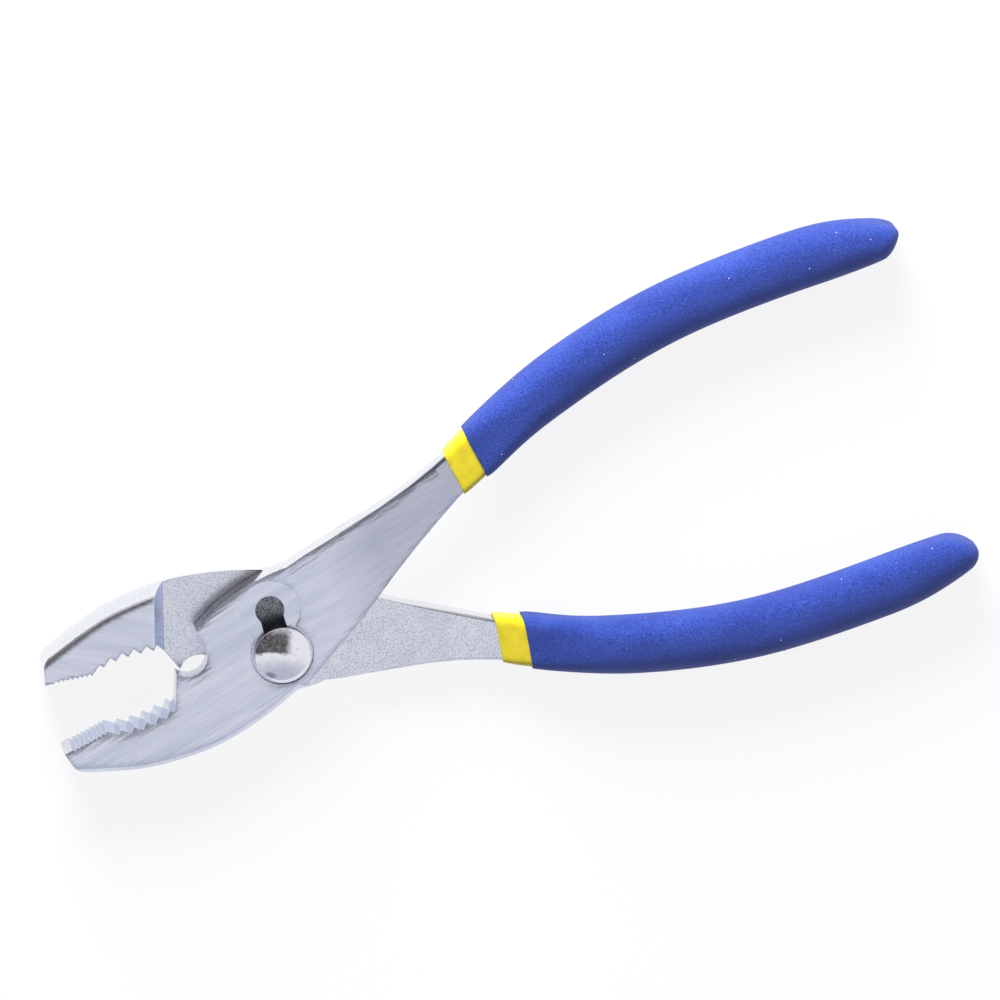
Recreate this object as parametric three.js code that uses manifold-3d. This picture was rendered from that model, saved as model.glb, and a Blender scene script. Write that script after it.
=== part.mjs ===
// Slip-joint pliers: two forged levers on one bolt that sits in either lobe of a slot,
// with handles dipped twice, first in a thin yellow coat and then in a thick blue one.
// Both levers come from one pattern. The slotted lever lies as modelled, and the pinned lever
// is the same pattern turned over about the line where the closed jaws meet.
import * as THREE from 'three';
import { mergeVertices } from 'three/addons/utils/BufferGeometryUtils.js';
import Module from 'manifold-3d';

// Driving dimensions, in millimetres and degrees. The pivot axis is Z, the jaws point to -X,
// and the pliers lie on z = 0. Outlines are in a lever's own frame, with the jaws closed.
const JAW_OPENING = 17.5;
const JAW_THICKNESS = 10;
const LAP_GAP = 0.3;
const GRIP_LINE = 3.65;

// Jaw: its back is crowned between the two faces.
const JAW_REACH = 50.1;
const NOSE_HEIGHT = 4;
const NOSE_SLANT = 0.45;
const CROWN = 2.3;
const CROWN_LAND = 0.8;
const CROWN_STEPS = 5;
const BLANK_NOSE = [-54.7, 0.3];
const BLANK_ALLOWANCE = 6;

// Teeth: a flat land, fine teeth, then coarse teeth along a hollow that grips pipe.
const TIP_GAP = 0.3;
const TIP_LAND = 1.9;
const FINE_TEETH = 8;
const FINE_PITCH = 1.02;
const COARSE_TEETH = 5;
const COARSE_PITCH = 2.72;
const PIPE_HOLLOW = 2.55;

// Throat, wire-cutting notch and lap.
const NOTCH_CENTRE = [-17.7, 9.1];
const NOTCH_RADIUS = 4.1;
const THROAT_END_X = -21.4;
const LAP_LEFT_X = -13.9;
const JAW_STEP_X = -24.2;
const JAW_STEP_LEAN = 9.4;
const JAW_STEP_SLOPE = 66;

// Slip joint: slot, seats for the head, bolt and nut.
const SLIP_PITCH = 9.8;
const SLIP_ANGLE = 78;
const SHANK_DIAMETER = 5.6;
const SHANK_FLATS = 4.4;
const PIVOT_CLEARANCE = 0.25;
const HEAD_DIAMETER = 12;
const HEAD_RIM = 0.7;
const HEAD_DOME = 2.5;
const SEAT_CLEARANCE = 0.5;
const SEAT_DEPTH = 0.6;
const SEAT_GAP = 0.15;
const TAIL_DIAMETER = 4.4;
const NUT_WIDTH = 9;
const NUT_THICKNESS = 3.2;
const NUT_CHAMFER = 0.6;

// Handles: the steel carries on from the lap as a flat bar, bends to the middle of the thickness
// inside the coats, and every layer follows one centre line. The coats end at dip lines, square
// to the closed pliers.
const NECK_JOIN = 13;
const NECK_ROUNDING = 0.9;
const EDGE_BREAK = 0.3;
const TANG_WIDTH = 6.8;
const TANG_TAPER = 24;
const BEND_LEAD = 9;
const COAT_GAP = 0.3;
const INNER_COAT = 0.75;
const INNER_COAT_EDGE = 0.45;
const BAND_LENGTH = 6.1;
const GRIP_WIDTH = 12.5;
const GRIP_THICKNESS = 12;
const GRIP_LIP = 0.4;
const GRIP_SWELL = 22;
const GRIP_ROUNDING = 5.2;
const GRIP_TAPER = 13;
const GRIP_END_WIDTH = 7.4;
const GRIP_END_DROP = 0.2;
const GRIP_END_ROUNDING = 3.2;
const END_COAT = 10;

// Each lever's own outline: the back of its jaw, the top of its lap, the centre line of its
// handle, the widths of its bare neck at the first points of that line, and the length of the
// bare neck along it.
const SLOTTED = {
  jawBack: [[-47.9, -2.8], [-40.1, -7.1], [-31, -10.1], [-20.5, -11.7], [-9.5, -11], [-0.6, -9.2]],
  lapTop: [[-13.5, 13.5], [-6.7, 15.8], [1.5, 16.8], [7, 16.6]],
  centreLine: [[12, 6.6], [24.6, 9.9], [37.2, 13.1], [49.5, 16.4], [72.6, 21.8], [101.6, 24.2],
    [130.7, 21.1], [154.9, 16]],
  neckWidths: [19.9, 15.2, 10.9, 8.6],
  neckLength: 38.8,
};
const PINNED = {
  jawBack: [[-47.9, -2.3], [-40.1, -7.2], [-31.4, -10.4], [-20.5, -12.2], [-9.5, -11.7], [-0.6, -10.1]],
  lapTop: [[-13.5, 12.8], [-7, 15.3], [1.5, 16.7], [6, 16.6]],
  centreLine: [[10.5, 6.2], [22.6, 9.3], [34.5, 12.1], [45.2, 15.2], [67.8, 21.1], [96.8, 24],
    [125.8, 21], [148.4, 16.6]],
  neckWidths: [20.4, 15.4, 11.4, 8.9],
  neckLength: 36.2,
};

// Facets.
const ROUND_SIDES = 40;
const CORNER_STEPS = 4;
const LINE_STEPS = 3;
const HANDLE_STEP = 7;
const DOME_STEPS = 9;
const ARC_DIVISIONS = 400;
const FAR = 400;

const FACE_Z = JAW_THICKNESS / 2;
const MID_Z = GRIP_THICKNESS / 2;
const LAP_THICKNESS = (JAW_THICKNESS - LAP_GAP) / 2;
const LAP_CENTRE_Z = FACE_Z - LAP_THICKNESS / 2;
const SLIP = new THREE.Vector2(Math.cos(rad(SLIP_ANGLE)), Math.sin(rad(SLIP_ANGLE)))
  .multiplyScalar(SLIP_PITCH);
const SEAT_RADIUS = HEAD_DIAMETER / 2 + SEAT_CLEARANCE;
const NUT_PROUD = MID_Z - FACE_Z;

const wasm = await Module();
wasm.setup();

function rad(degrees) {
  return (degrees * Math.PI) / 180;
}

// A closed geometry becomes a solid that can be joined and cut.
function solid(geometry) {
  const bare = geometry.clone();
  bare.deleteAttribute('normal');
  bare.deleteAttribute('uv');
  const merged = mergeVertices(bare, 1e-5);
  return new wasm.Manifold(new wasm.Mesh({
    numProp: 3,
    vertProperties: new Float32Array(merged.attributes.position.array),
    triVerts: new Uint32Array(merged.index.array),
  }));
}

function geometryOf(body) {
  const mesh = body.getMesh();
  const geometry = new THREE.BufferGeometry();
  geometry.setAttribute('position', new THREE.BufferAttribute(mesh.vertProperties, 3));
  geometry.setIndex(new THREE.BufferAttribute(mesh.triVerts, 1));
  geometry.computeVertexNormals();
  return geometry;
}

// A plan outline raised from one height to another.
function prism(shape, low, high) {
  const geometry = new THREE.ExtrudeGeometry(shape, { depth: high - low, bevelEnabled: false });
  geometry.translate(0, 0, low);
  return solid(geometry);
}

function cylinder(radius, low, high, x = 0, y = 0, sides = ROUND_SIDES) {
  const geometry = new THREE.CylinderGeometry(radius, radius, high - low, sides);
  geometry.rotateX(Math.PI / 2);
  geometry.translate(x, y, (low + high) / 2);
  return solid(geometry);
}

// A profile of (distance from the axis, height) points turned about Z.
function turned(profile) {
  const points = profile.map(([r, z]) => new THREE.Vector2(r, z));
  const geometry = new THREE.LatheGeometry(points, ROUND_SIDES);
  geometry.rotateX(Math.PI / 2);
  return solid(geometry);
}

// The handle's centre line, measured by the distance along it.
function centreLineOf(lever) {
  const points = lever.centreLine.map(([x, y]) => new THREE.Vector3(x, y, 0));
  const curve = new THREE.CatmullRomCurve3(points, false, 'centripetal');
  curve.arcLengthDivisions = ARC_DIVISIONS;
  return curve;
}

function frameAt(curve, distance) {
  const u = Math.min(distance / curve.getLength(), 1);
  const tangent = curve.getTangentAt(u);
  return { point: curve.getPointAt(u), normal: new THREE.Vector3(-tangent.y, tangent.x, 0) };
}

function smooth(t) {
  return THREE.MathUtils.smoothstep(t, 0, 1);
}

// Width of the steel along the handle: the bare neck narrows through its given widths,
// and the tang inside the coats tapers on to a constant width.
function steelWidth(lever, distance) {
  const widths = lever.neckWidths;
  const place = (distance / lever.neckLength) * (widths.length - 1);
  if (place >= widths.length - 1) {
    const t = smooth((distance - lever.neckLength) / TANG_TAPER);
    return THREE.MathUtils.lerp(widths[widths.length - 1], TANG_WIDTH, t);
  }
  const spline = new THREE.SplineCurve(widths.map((w, i) => new THREE.Vector2(i, w)));
  return spline.getPoint(place / (widths.length - 1)).y;
}

// The flat bar bends from the lap's level to the middle of the thickness where the grip swells.
function steelSection(lever, distance) {
  const start = lever.neckLength - BEND_LEAD;
  const bend = smooth((distance - start) / (BEND_LEAD + BAND_LENGTH + GRIP_SWELL));
  const round = smooth((distance - NECK_JOIN) / (lever.neckLength - NECK_JOIN));
  return {
    width: steelWidth(lever, distance),
    thickness: LAP_THICKNESS,
    height: THREE.MathUtils.lerp(LAP_CENTRE_Z, 0, bend),
    rounding: THREE.MathUtils.lerp(EDGE_BREAK, NECK_ROUNDING, round),
  };
}

// A section grown by a wall all round.
function grown(section, wall) {
  return {
    ...section,
    width: section.width + 2 * wall,
    thickness: section.thickness + 2 * wall,
    rounding: Math.max(section.rounding + wall, EDGE_BREAK),
  };
}

// One ring of a handle: a rectangle with round corners, square to the centre line.
function ring(curve, distance, section) {
  const { point, normal } = frameAt(curve, distance);
  const flatX = section.width / 2 - section.rounding;
  const flatZ = section.thickness / 2 - section.rounding;
  const points = [];
  for (let corner = 0; corner < 4; corner += 1) {
    const sideX = corner === 0 || corner === 3 ? 1 : -1;
    const sideZ = corner < 2 ? 1 : -1;
    for (let step = 0; step <= CORNER_STEPS; step += 1) {
      const angle = ((corner + step / CORNER_STEPS) * Math.PI) / 2;
      const across = sideX * flatX + section.rounding * Math.cos(angle) - (section.drop ?? 0);
      const height = section.height + sideZ * flatZ + section.rounding * Math.sin(angle);
      points.push(point.clone().addScaledVector(normal, across).setZ(height));
    }
  }
  return points;
}

// Rings joined into one closed skin with flat ends.
function loft(rings) {
  const positions = [];
  const index = [];
  const size = rings[0].length;
  rings.flat().forEach((p) => positions.push(p.x, p.y, p.z));
  for (let r = 0; r + 1 < rings.length; r += 1) {
    for (let k = 0; k < size; k += 1) {
      const a = r * size + k;
      const b = r * size + ((k + 1) % size);
      index.push(a, a + size, b, b, a + size, b + size);
    }
  }
  const last = (rings.length - 1) * size;
  for (let k = 1; k + 1 < size; k += 1) {
    index.push(0, k, k + 1);
    index.push(last, last + k + 1, last + k);
  }
  const geometry = new THREE.BufferGeometry();
  geometry.setAttribute('position', new THREE.Float32BufferAttribute(positions, 3));
  geometry.setIndex(index);
  const body = solid(geometry);
  if (body.volume() > 0) {
    return body;
  }
  geometry.setIndex(index.reverse());
  return solid(geometry);
}

// A bar along the centre line from one distance to another, with an edge rounding at its end.
function bar(curve, from, to, sectionAt, endRounding = 0) {
  const rings = [];
  const add = (distance, inset) => {
    rings.push(ring(curve, distance, grown(sectionAt(distance), -inset)));
  };
  const straightEnd = to - endRounding;
  const steps = Math.ceil((straightEnd - from) / HANDLE_STEP);
  for (let step = 0; step <= steps; step += 1) {
    add(THREE.MathUtils.lerp(from, straightEnd, step / steps), 0);
  }
  for (let step = 1; endRounding > 0 && step <= CORNER_STEPS; step += 1) {
    const angle = ((step / CORNER_STEPS) * Math.PI) / 2;
    add(straightEnd + endRounding * Math.sin(angle), endRounding * (1 - Math.cos(angle)));
  }
  return loft(rings);
}

// Teeth from the throat out to the tip, as points of the jaw's outline. Every flank lies at
// 45 degrees to the grip line, so each valley is where the flanks of two crests meet.
function toothOutline() {
  const top = GRIP_LINE - TIP_GAP / 2;
  const fineStart = -JAW_REACH + TIP_LAND;
  const coarseStart = fineStart + FINE_TEETH * FINE_PITCH;
  const crests = [[-JAW_REACH + TIP_LAND, top]];
  for (let tooth = 1; tooth <= FINE_TEETH; tooth += 1) {
    crests.push([fineStart + tooth * FINE_PITCH, top]);
  }
  for (let tooth = 1; tooth <= COARSE_TEETH; tooth += 1) {
    const toThroat = 1 - tooth / COARSE_TEETH;
    crests.push([coarseStart + tooth * COARSE_PITCH, top - PIPE_HOLLOW * (1 - toThroat ** 3)]);
  }
  const points = [[-JAW_REACH, top], crests[0]];
  for (let i = 0; i + 1 < crests.length; i += 1) {
    const [x1, y1] = crests[i];
    const [x2, y2] = crests[i + 1];
    const x = (x1 + x2 + y1 - y2) / 2;
    points.push([x, y1 - (x - x1)], crests[i + 1]);
  }
  const [endX, endY] = crests[crests.length - 1];
  const lastFlank = COARSE_PITCH / 3;
  points.push([endX + lastFlank, endY - lastFlank]);
  return points.reverse();
}

function edgePoint(lever, distance, side) {
  const { point, normal } = frameAt(centreLineOf(lever), distance);
  return point.addScaledVector(normal, (side * steelWidth(lever, distance)) / 2);
}

// Edge of the neck between its start and the place where the round-edged bar takes over.
function neckEdge(lever, side) {
  const points = [];
  for (let step = 0; step <= LINE_STEPS; step += 1) {
    const p = edgePoint(lever, (NECK_JOIN * step) / LINE_STEPS, side);
    points.push(new THREE.Vector2(p.x, p.y));
  }
  return points;
}

const vectors = (points) => points.map(([x, y]) => new THREE.Vector2(x, y));

// Jaw, lap and the start of the neck in plan.
function headOutline(lever) {
  const noseFoot = [-JAW_REACH + NOSE_SLANT, GRIP_LINE - NOSE_HEIGHT];
  const lower = neckEdge(lever, -1);
  const upper = neckEdge(lever, 1).reverse();
  const [notchX, notchY] = NOTCH_CENTRE;
  const notchFrom = -Math.acos((LAP_LEFT_X - notchX) / NOTCH_RADIUS);
  const notchTo = -Math.acos((THROAT_END_X - notchX) / NOTCH_RADIUS);
  const shape = new THREE.Shape();
  shape.moveTo(-JAW_REACH, GRIP_LINE - TIP_GAP / 2);
  shape.lineTo(...noseFoot);
  shape.splineThru(vectors(lever.jawBack));
  lower.forEach((p) => shape.lineTo(p.x, p.y));
  upper.forEach((p) => shape.lineTo(p.x, p.y));
  shape.splineThru(vectors(lever.lapTop).reverse());
  shape.absarc(notchX, notchY, NOTCH_RADIUS, notchFrom, notchTo, true);
  toothOutline().forEach(([x, y]) => shape.lineTo(x, y));
  return new THREE.Shape(shape.extractPoints(LINE_STEPS).shape);
}

// Forged blank that crowns the back of the jaw, less towards the nose, and stands clear of every
// other edge.
function crownedBlank(lever) {
  const [, ...back] = lever.jawBack;
  const last = back[back.length - 1];
  const shape = new THREE.Shape();
  shape.moveTo(...BLANK_NOSE);
  shape.splineThru(vectors(back));
  shape.lineTo(last[0] + BLANK_ALLOWANCE, last[1] - BLANK_ALLOWANCE);
  shape.lineTo(FAR / 2, -FAR / 2);
  shape.lineTo(FAR / 2, FAR / 2);
  shape.lineTo(BLANK_NOSE[0], FAR / 2);
  const geometry = new THREE.ExtrudeGeometry(shape, {
    depth: CROWN_LAND,
    bevelThickness: (JAW_THICKNESS - CROWN_LAND) / 2,
    bevelSize: CROWN,
    bevelOffset: -CROWN,
    bevelSegments: CROWN_STEPS,
    curveSegments: LINE_STEPS,
  });
  geometry.translate(0, 0, -CROWN_LAND / 2);
  return solid(geometry);
}

// The half of the thickness that makes room for the other lever: everything under the lap from
// the leaning step behind the jaw.
function lapRoom() {
  const depth = JAW_THICKNESS;
  const lean = depth / Math.tan(rad(JAW_STEP_SLOPE));
  const profile = new THREE.Shape(vectors([[0, 0], [-lean, -depth], [FAR, -depth], [FAR, 0]]));
  const geometry = new THREE.ExtrudeGeometry(profile, { depth: FAR, bevelEnabled: false });
  geometry.translate(0, LAP_GAP / 2, -FAR / 2);
  geometry.rotateX(Math.PI / 2);
  geometry.rotateZ(rad(JAW_STEP_LEAN));
  geometry.translate(JAW_STEP_X, GRIP_LINE, 0);
  return solid(geometry);
}

// A lever's steel in the shared pattern's frame, with the mid-plane of the jaws at z = 0.
function leverSteel(lever) {
  const curve = centreLineOf(lever);
  const overlap = NECK_JOIN / LINE_STEPS;
  const tangEnd = curve.getLength() - END_COAT - INNER_COAT - 2 * COAT_GAP;
  const neckAndTang = bar(curve, NECK_JOIN - overlap, tangEnd, (d) => steelSection(lever, d));
  return prism(headOutline(lever), -FACE_Z, FACE_Z)
    .intersect(crownedBlank(lever))
    .subtract(lapRoom())
    .add(neckAndTang);
}

// Figure-eight slot for the shank, and the two overlapping seats for the head.
function slotCut() {
  const lobe = SHANK_DIAMETER / 2 + PIVOT_CLEARANCE;
  const neck = SHANK_FLATS + 2 * PIVOT_CLEARANCE;
  const passage = new THREE.BoxGeometry(SLIP_PITCH, neck, 4 * FACE_Z);
  passage.rotateZ(rad(SLIP_ANGLE));
  passage.translate(SLIP.x / 2, SLIP.y / 2, 0);
  const floor = FACE_Z - SEAT_DEPTH;
  return cylinder(lobe, -2 * FACE_Z, 2 * FACE_Z)
    .add(cylinder(lobe, -2 * FACE_Z, 2 * FACE_Z, SLIP.x, SLIP.y))
    .add(solid(passage))
    .add(cylinder(SEAT_RADIUS, floor, 2 * FACE_Z))
    .add(cylinder(SEAT_RADIUS, floor, 2 * FACE_Z, SLIP.x, SLIP.y));
}

// Round pivot hole with a sunk seat for the nut, on the face that is turned to the back.
function pinCut() {
  const y = 2 * GRIP_LINE;
  const corners = NUT_WIDTH / Math.sqrt(3);
  const floor = FACE_Z - (NUT_THICKNESS - NUT_PROUD) - SEAT_GAP;
  return cylinder(SHANK_DIAMETER / 2 + PIVOT_CLEARANCE, -2 * FACE_Z, 2 * FACE_Z, 0, y)
    .add(cylinder(corners + SEAT_CLEARANCE, floor, 2 * FACE_Z, 0, y));
}

// Everything on the jaws' side of a dip line, which is square to the closed pliers.
function beyondDip(x) {
  const geometry = new THREE.BoxGeometry(FAR, FAR, FAR);
  geometry.translate(x - FAR / 2, 0, 0);
  return solid(geometry);
}

// The inner coat thickens from its dip line to the grip's mouth.
function innerCoatSection(lever, distance) {
  const t = smooth((distance - lever.neckLength) / BAND_LENGTH);
  const wall = THREE.MathUtils.lerp(INNER_COAT_EDGE, INNER_COAT, t);
  return grown(steelSection(lever, distance), COAT_GAP + wall);
}

// Thin inner coat: a sock over the tang, open at its dip line.
function innerCoat(lever) {
  const curve = centreLineOf(lever);
  const start = lever.neckLength - HANDLE_STEP;
  const end = curve.getLength() - END_COAT - COAT_GAP;
  const outer = bar(curve, start, end, (d) => innerCoatSection(lever, d), INNER_COAT);
  const hollow = bar(curve, start - HANDLE_STEP, end - INNER_COAT,
    (d) => grown(steelSection(lever, d), COAT_GAP));
  return outer.subtract(hollow).subtract(beyondDip(frameAt(curve, lever.neckLength).point.x));
}

// The grip swells from a thin lip at its mouth, and near its end its outer side tapers more
// than its inner one.
function gripSection(lever, length, distance) {
  const mouth = grown(innerCoatSection(lever, distance), COAT_GAP + GRIP_LIP);
  const swell = smooth((distance - lever.neckLength - BAND_LENGTH) / GRIP_SWELL);
  const taper = THREE.MathUtils.clamp((distance - length + GRIP_TAPER) / GRIP_TAPER, 0, 1);
  const full = THREE.MathUtils.lerp(mouth.width, GRIP_WIDTH, swell);
  const width = THREE.MathUtils.lerp(full, GRIP_END_WIDTH, taper);
  const thickness = THREE.MathUtils.lerp(mouth.thickness, GRIP_THICKNESS, swell);
  const rounding = THREE.MathUtils.lerp(mouth.rounding, GRIP_ROUNDING, swell);
  return {
    width,
    thickness,
    height: mouth.height,
    drop: GRIP_END_DROP * (full - width),
    rounding: Math.min(rounding, width / 2 - EDGE_BREAK, thickness / 2 - EDGE_BREAK),
  };
}

// Thick outer coat: it starts a band's length past the inner one's dip line and closes over
// the end.
function outerGrip(lever) {
  const curve = centreLineOf(lever);
  const mouth = lever.neckLength + BAND_LENGTH;
  const length = curve.getLength();
  const outer = bar(curve, mouth - HANDLE_STEP, length, (d) => gripSection(lever, length, d),
    GRIP_END_ROUNDING);
  const hollow = bar(curve, mouth - 2 * HANDLE_STEP, length - END_COAT,
    (d) => grown(innerCoatSection(lever, d), COAT_GAP));
  return outer.subtract(hollow).subtract(beyondDip(frameAt(curve, mouth).point.x));
}

// Bolt with a domed head. Its boss passes between the cusps of the two seats, its flats slide
// in the slot, and the pinned lever turns on the round of its shank.
function pivotBolt() {
  const headUnder = MID_Z + FACE_Z + SEAT_GAP;
  const bossUnder = MID_Z + FACE_Z - SEAT_DEPTH + SEAT_GAP;
  const cusp = Math.sqrt(SEAT_RADIUS ** 2 - (SLIP_PITCH / 2) ** 2);
  const boss = cusp - PIVOT_CLEARANCE;
  const shank = SHANK_DIAMETER / 2;
  const shankEnd = NUT_THICKNESS + SEAT_GAP / 2;
  const head = HEAD_DIAMETER / 2;
  const dome = [];
  const sphere = (head ** 2 + HEAD_DOME ** 2) / (2 * HEAD_DOME);
  const spread = Math.asin(head / sphere);
  const domeTop = headUnder + HEAD_RIM + HEAD_DOME;
  for (let step = 0; step <= DOME_STEPS; step += 1) {
    const angle = spread * (1 - step / DOME_STEPS);
    dome.push([sphere * Math.sin(angle), domeTop - sphere * (1 - Math.cos(angle))]);
  }
  const round = turned([[0, 0], [TAIL_DIAMETER / 2, 0], [TAIL_DIAMETER / 2, shankEnd],
    [shank, shankEnd], [shank, bossUnder], [boss, bossUnder], [boss, headUnder],
    [head, headUnder], ...dome]);
  const flatHeight = bossUnder - MID_Z;
  const side = SHANK_DIAMETER;
  return [-1, 1].reduce((bolt, sign) => {
    const cut = new THREE.BoxGeometry(2 * side, side, flatHeight);
    cut.translate(0, (sign * (SHANK_FLATS + side)) / 2, MID_Z + flatHeight / 2);
    cut.rotateZ(rad(SLIP_ANGLE + JAW_OPENING / 2));
    return bolt.subtract(solid(cut));
  }, round);
}

// Hexagon nut with its outer corners turned off.
function pivotNut() {
  const corner = NUT_WIDTH / Math.sqrt(3);
  const flat = NUT_WIDTH / 2;
  const bore = TAIL_DIAMETER / 2 + PIVOT_CLEARANCE;
  const turnedCorners = turned([[0, 0], [flat, 0], [corner, NUT_CHAMFER], [corner, NUT_THICKNESS],
    [0, NUT_THICKNESS]]);
  return cylinder(corner, 0, NUT_THICKNESS, 0, 0, 6)
    .intersect(turnedCorners)
    .subtract(cylinder(bore, -NUT_THICKNESS, 2 * NUT_THICKNESS));
}

function finish(hex, roughness, metalness) {
  return new THREE.MeshStandardMaterial({ color: hex, roughness, metalness });
}

const brushedSteel = finish(0xc6cad6, 0.32, 1);
const forgedSteel = finish(0xc2c6d2, 0.42, 1);
const polishedSteel = finish(0xcfd1da, 0.15, 1);
const platedSteel = finish(0xb9bcc6, 0.3, 1);
const yellowVinyl = finish(0xe8d62e, 0.4, 0);
const blueVinyl = finish(0x3c50a0, 0.75, 0);

const pliers = new THREE.Group();
pliers.name = 'slip_joint_pliers';

// The slotted lever's pieces keep the pattern's frame, turned open about the pivot.
const slottedSide = new THREE.Group();
slottedSide.position.z = MID_Z;
slottedSide.rotation.z = rad(JAW_OPENING / 2);
pliers.add(slottedSide);

// The pinned lever's pieces are turned over about the grip line first.
const pinnedSide = new THREE.Group();
pinnedSide.position.z = MID_Z;
pinnedSide.rotation.z = rad(-JAW_OPENING / 2);
const turnedOver = new THREE.Group();
turnedOver.position.y = 2 * GRIP_LINE;
turnedOver.rotation.x = Math.PI;
pinnedSide.add(turnedOver);
pliers.add(pinnedSide);

function place(parent, name, body, material) {
  const mesh = new THREE.Mesh(geometryOf(body), material);
  mesh.name = name;
  parent.add(mesh);
}

place(slottedSide, 'slotted_lever', leverSteel(SLOTTED).subtract(slotCut()), brushedSteel);
place(slottedSide, 'slotted_lever_inner_coat', innerCoat(SLOTTED), yellowVinyl);
place(slottedSide, 'slotted_lever_grip', outerGrip(SLOTTED), blueVinyl);
place(turnedOver, 'pinned_lever', leverSteel(PINNED).subtract(pinCut()), forgedSteel);
place(turnedOver, 'pinned_lever_inner_coat', innerCoat(PINNED), yellowVinyl);
place(turnedOver, 'pinned_lever_grip', outerGrip(PINNED), blueVinyl);
place(pliers, 'pivot_bolt', pivotBolt(), polishedSteel);
place(pliers, 'pivot_nut', pivotNut(), platedSteel);

export default pliers;
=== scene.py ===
# Slip-joint pliers lying open on a white table, in metres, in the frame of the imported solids.
import math

import bmesh
import bpy
import numpy
from mathutils import Matrix, Vector
from mathutils.bvhtree import BVHTree


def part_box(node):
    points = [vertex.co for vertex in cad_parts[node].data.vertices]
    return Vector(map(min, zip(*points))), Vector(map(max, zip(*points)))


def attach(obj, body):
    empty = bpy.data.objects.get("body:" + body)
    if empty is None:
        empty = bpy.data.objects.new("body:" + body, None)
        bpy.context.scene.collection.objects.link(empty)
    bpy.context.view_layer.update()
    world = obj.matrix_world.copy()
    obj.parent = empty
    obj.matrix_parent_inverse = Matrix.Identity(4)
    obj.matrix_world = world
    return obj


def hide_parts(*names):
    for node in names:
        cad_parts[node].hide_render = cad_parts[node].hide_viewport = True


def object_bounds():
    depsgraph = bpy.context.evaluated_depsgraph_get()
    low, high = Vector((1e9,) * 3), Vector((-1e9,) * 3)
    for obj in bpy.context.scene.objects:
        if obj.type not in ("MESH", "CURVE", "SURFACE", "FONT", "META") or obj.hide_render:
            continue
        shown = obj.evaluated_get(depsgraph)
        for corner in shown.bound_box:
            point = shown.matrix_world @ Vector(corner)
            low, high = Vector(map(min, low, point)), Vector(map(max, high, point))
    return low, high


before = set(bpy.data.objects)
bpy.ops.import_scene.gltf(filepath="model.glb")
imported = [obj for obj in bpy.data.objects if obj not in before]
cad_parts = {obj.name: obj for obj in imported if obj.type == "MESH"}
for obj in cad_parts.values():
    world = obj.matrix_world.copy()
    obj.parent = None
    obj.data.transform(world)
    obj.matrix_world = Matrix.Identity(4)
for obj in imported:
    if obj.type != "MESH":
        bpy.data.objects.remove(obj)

CAD_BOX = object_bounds()
MM = 0.001

# The photograph's view: pixels to a millimetre, how far the camera leans to the picture's top and
# left and how far the pliers are turned in it, in degrees, and the pixel of the pivot at the levers'
# mid-plane.
FRAME_PIXELS = 1000
PIXELS_PER_MM = 4.77
CAMERA_DISTANCE = 2500 * MM
CAMERA_TILT = 14.0
CAMERA_SIDE = 7.8
PICTURE_TURN = 20.75
PIVOT_PIXEL = (280.1, 648.3)
MID_HEIGHT = 6 * MM
SENSOR = 36.0
NEAR_CLIP = 10 * MM

# What the steel mirrors, on a sphere of radius 1 around it: a dark part of the room, each of its edges
# from light to dark along the picture's right or up, the round end of a lamp stand, and how the room
# brightens above the picture's foot. A noise of ROOM_WAVE waves bends the edges, one of FOLD_WAVE makes
# the folds in the dark part. Last, the room's own light on what isn't shiny.
DARK_RIGHT = (0.65, 0.25)
DARK_FOOT = (-0.32, -0.18)
DARK_TOP = (1.05, 0.55)
STAND_PLACE = (-0.3, -0.9)
STAND_EDGE = 0.965
FOOT_RISE = (-1.0, -0.3)
ROOM_WAVE = 3.5
ROOM_BEND = 0.3
FOLD_WAVE = 9.0
ROOM_LIGHT = "B2B5C2"

# The part of its range from 0 to 1 that a soft noise mostly takes.
NOISE_RANGE = {"From Min": 0.3, "From Max": 0.7}


def linear(hex_colour):
    """An sRGB hex colour as the linear colour that a shader takes."""
    channels = [int(hex_colour[i:i + 2], 16) / 255 for i in (0, 2, 4)]
    return [c / 12.92 if c <= 0.04045 else ((c + 0.055) / 1.055) ** 2.4 for c in channels] + [1.0]


def add(tree, kind, values=None, links=None, **settings):
    """A node with its settings, its input values and what feeds it: sockets, or nodes by first output."""
    node = tree.nodes.new(kind)
    for name, value in settings.items():
        setattr(node, name, value)
    for name, value in (values or {}).items():
        node.inputs[name].default_value = value
    for name, source in (links or {}).items():
        if isinstance(source, bpy.types.Node):
            source = next(socket for socket in source.outputs if socket.enabled)
        tree.links.new(source, node.inputs[name])
    return node


def marks(sizes):
    """The scale that makes the marks of a pattern this many millimetres long in x, y and z."""
    return [1 / (size * MM) for size in sizes]


def new_material(name):
    """A material whose nodes are still to be added."""
    material = bpy.data.materials.new(name)
    material.use_nodes = True
    material.node_tree.nodes.clear()
    return material, material.node_tree


def picture_axes():
    """The picture's right, its up and the way to the camera, as directions in the row frame."""
    tilt = Matrix.Rotation(math.radians(CAMERA_TILT), 3, "X")
    side = Matrix.Rotation(math.radians(CAMERA_SIDE), 3, "Y")
    turn = Matrix.Rotation(math.radians(PICTURE_TURN), 3, "Z")
    return side @ tilt @ turn


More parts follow.
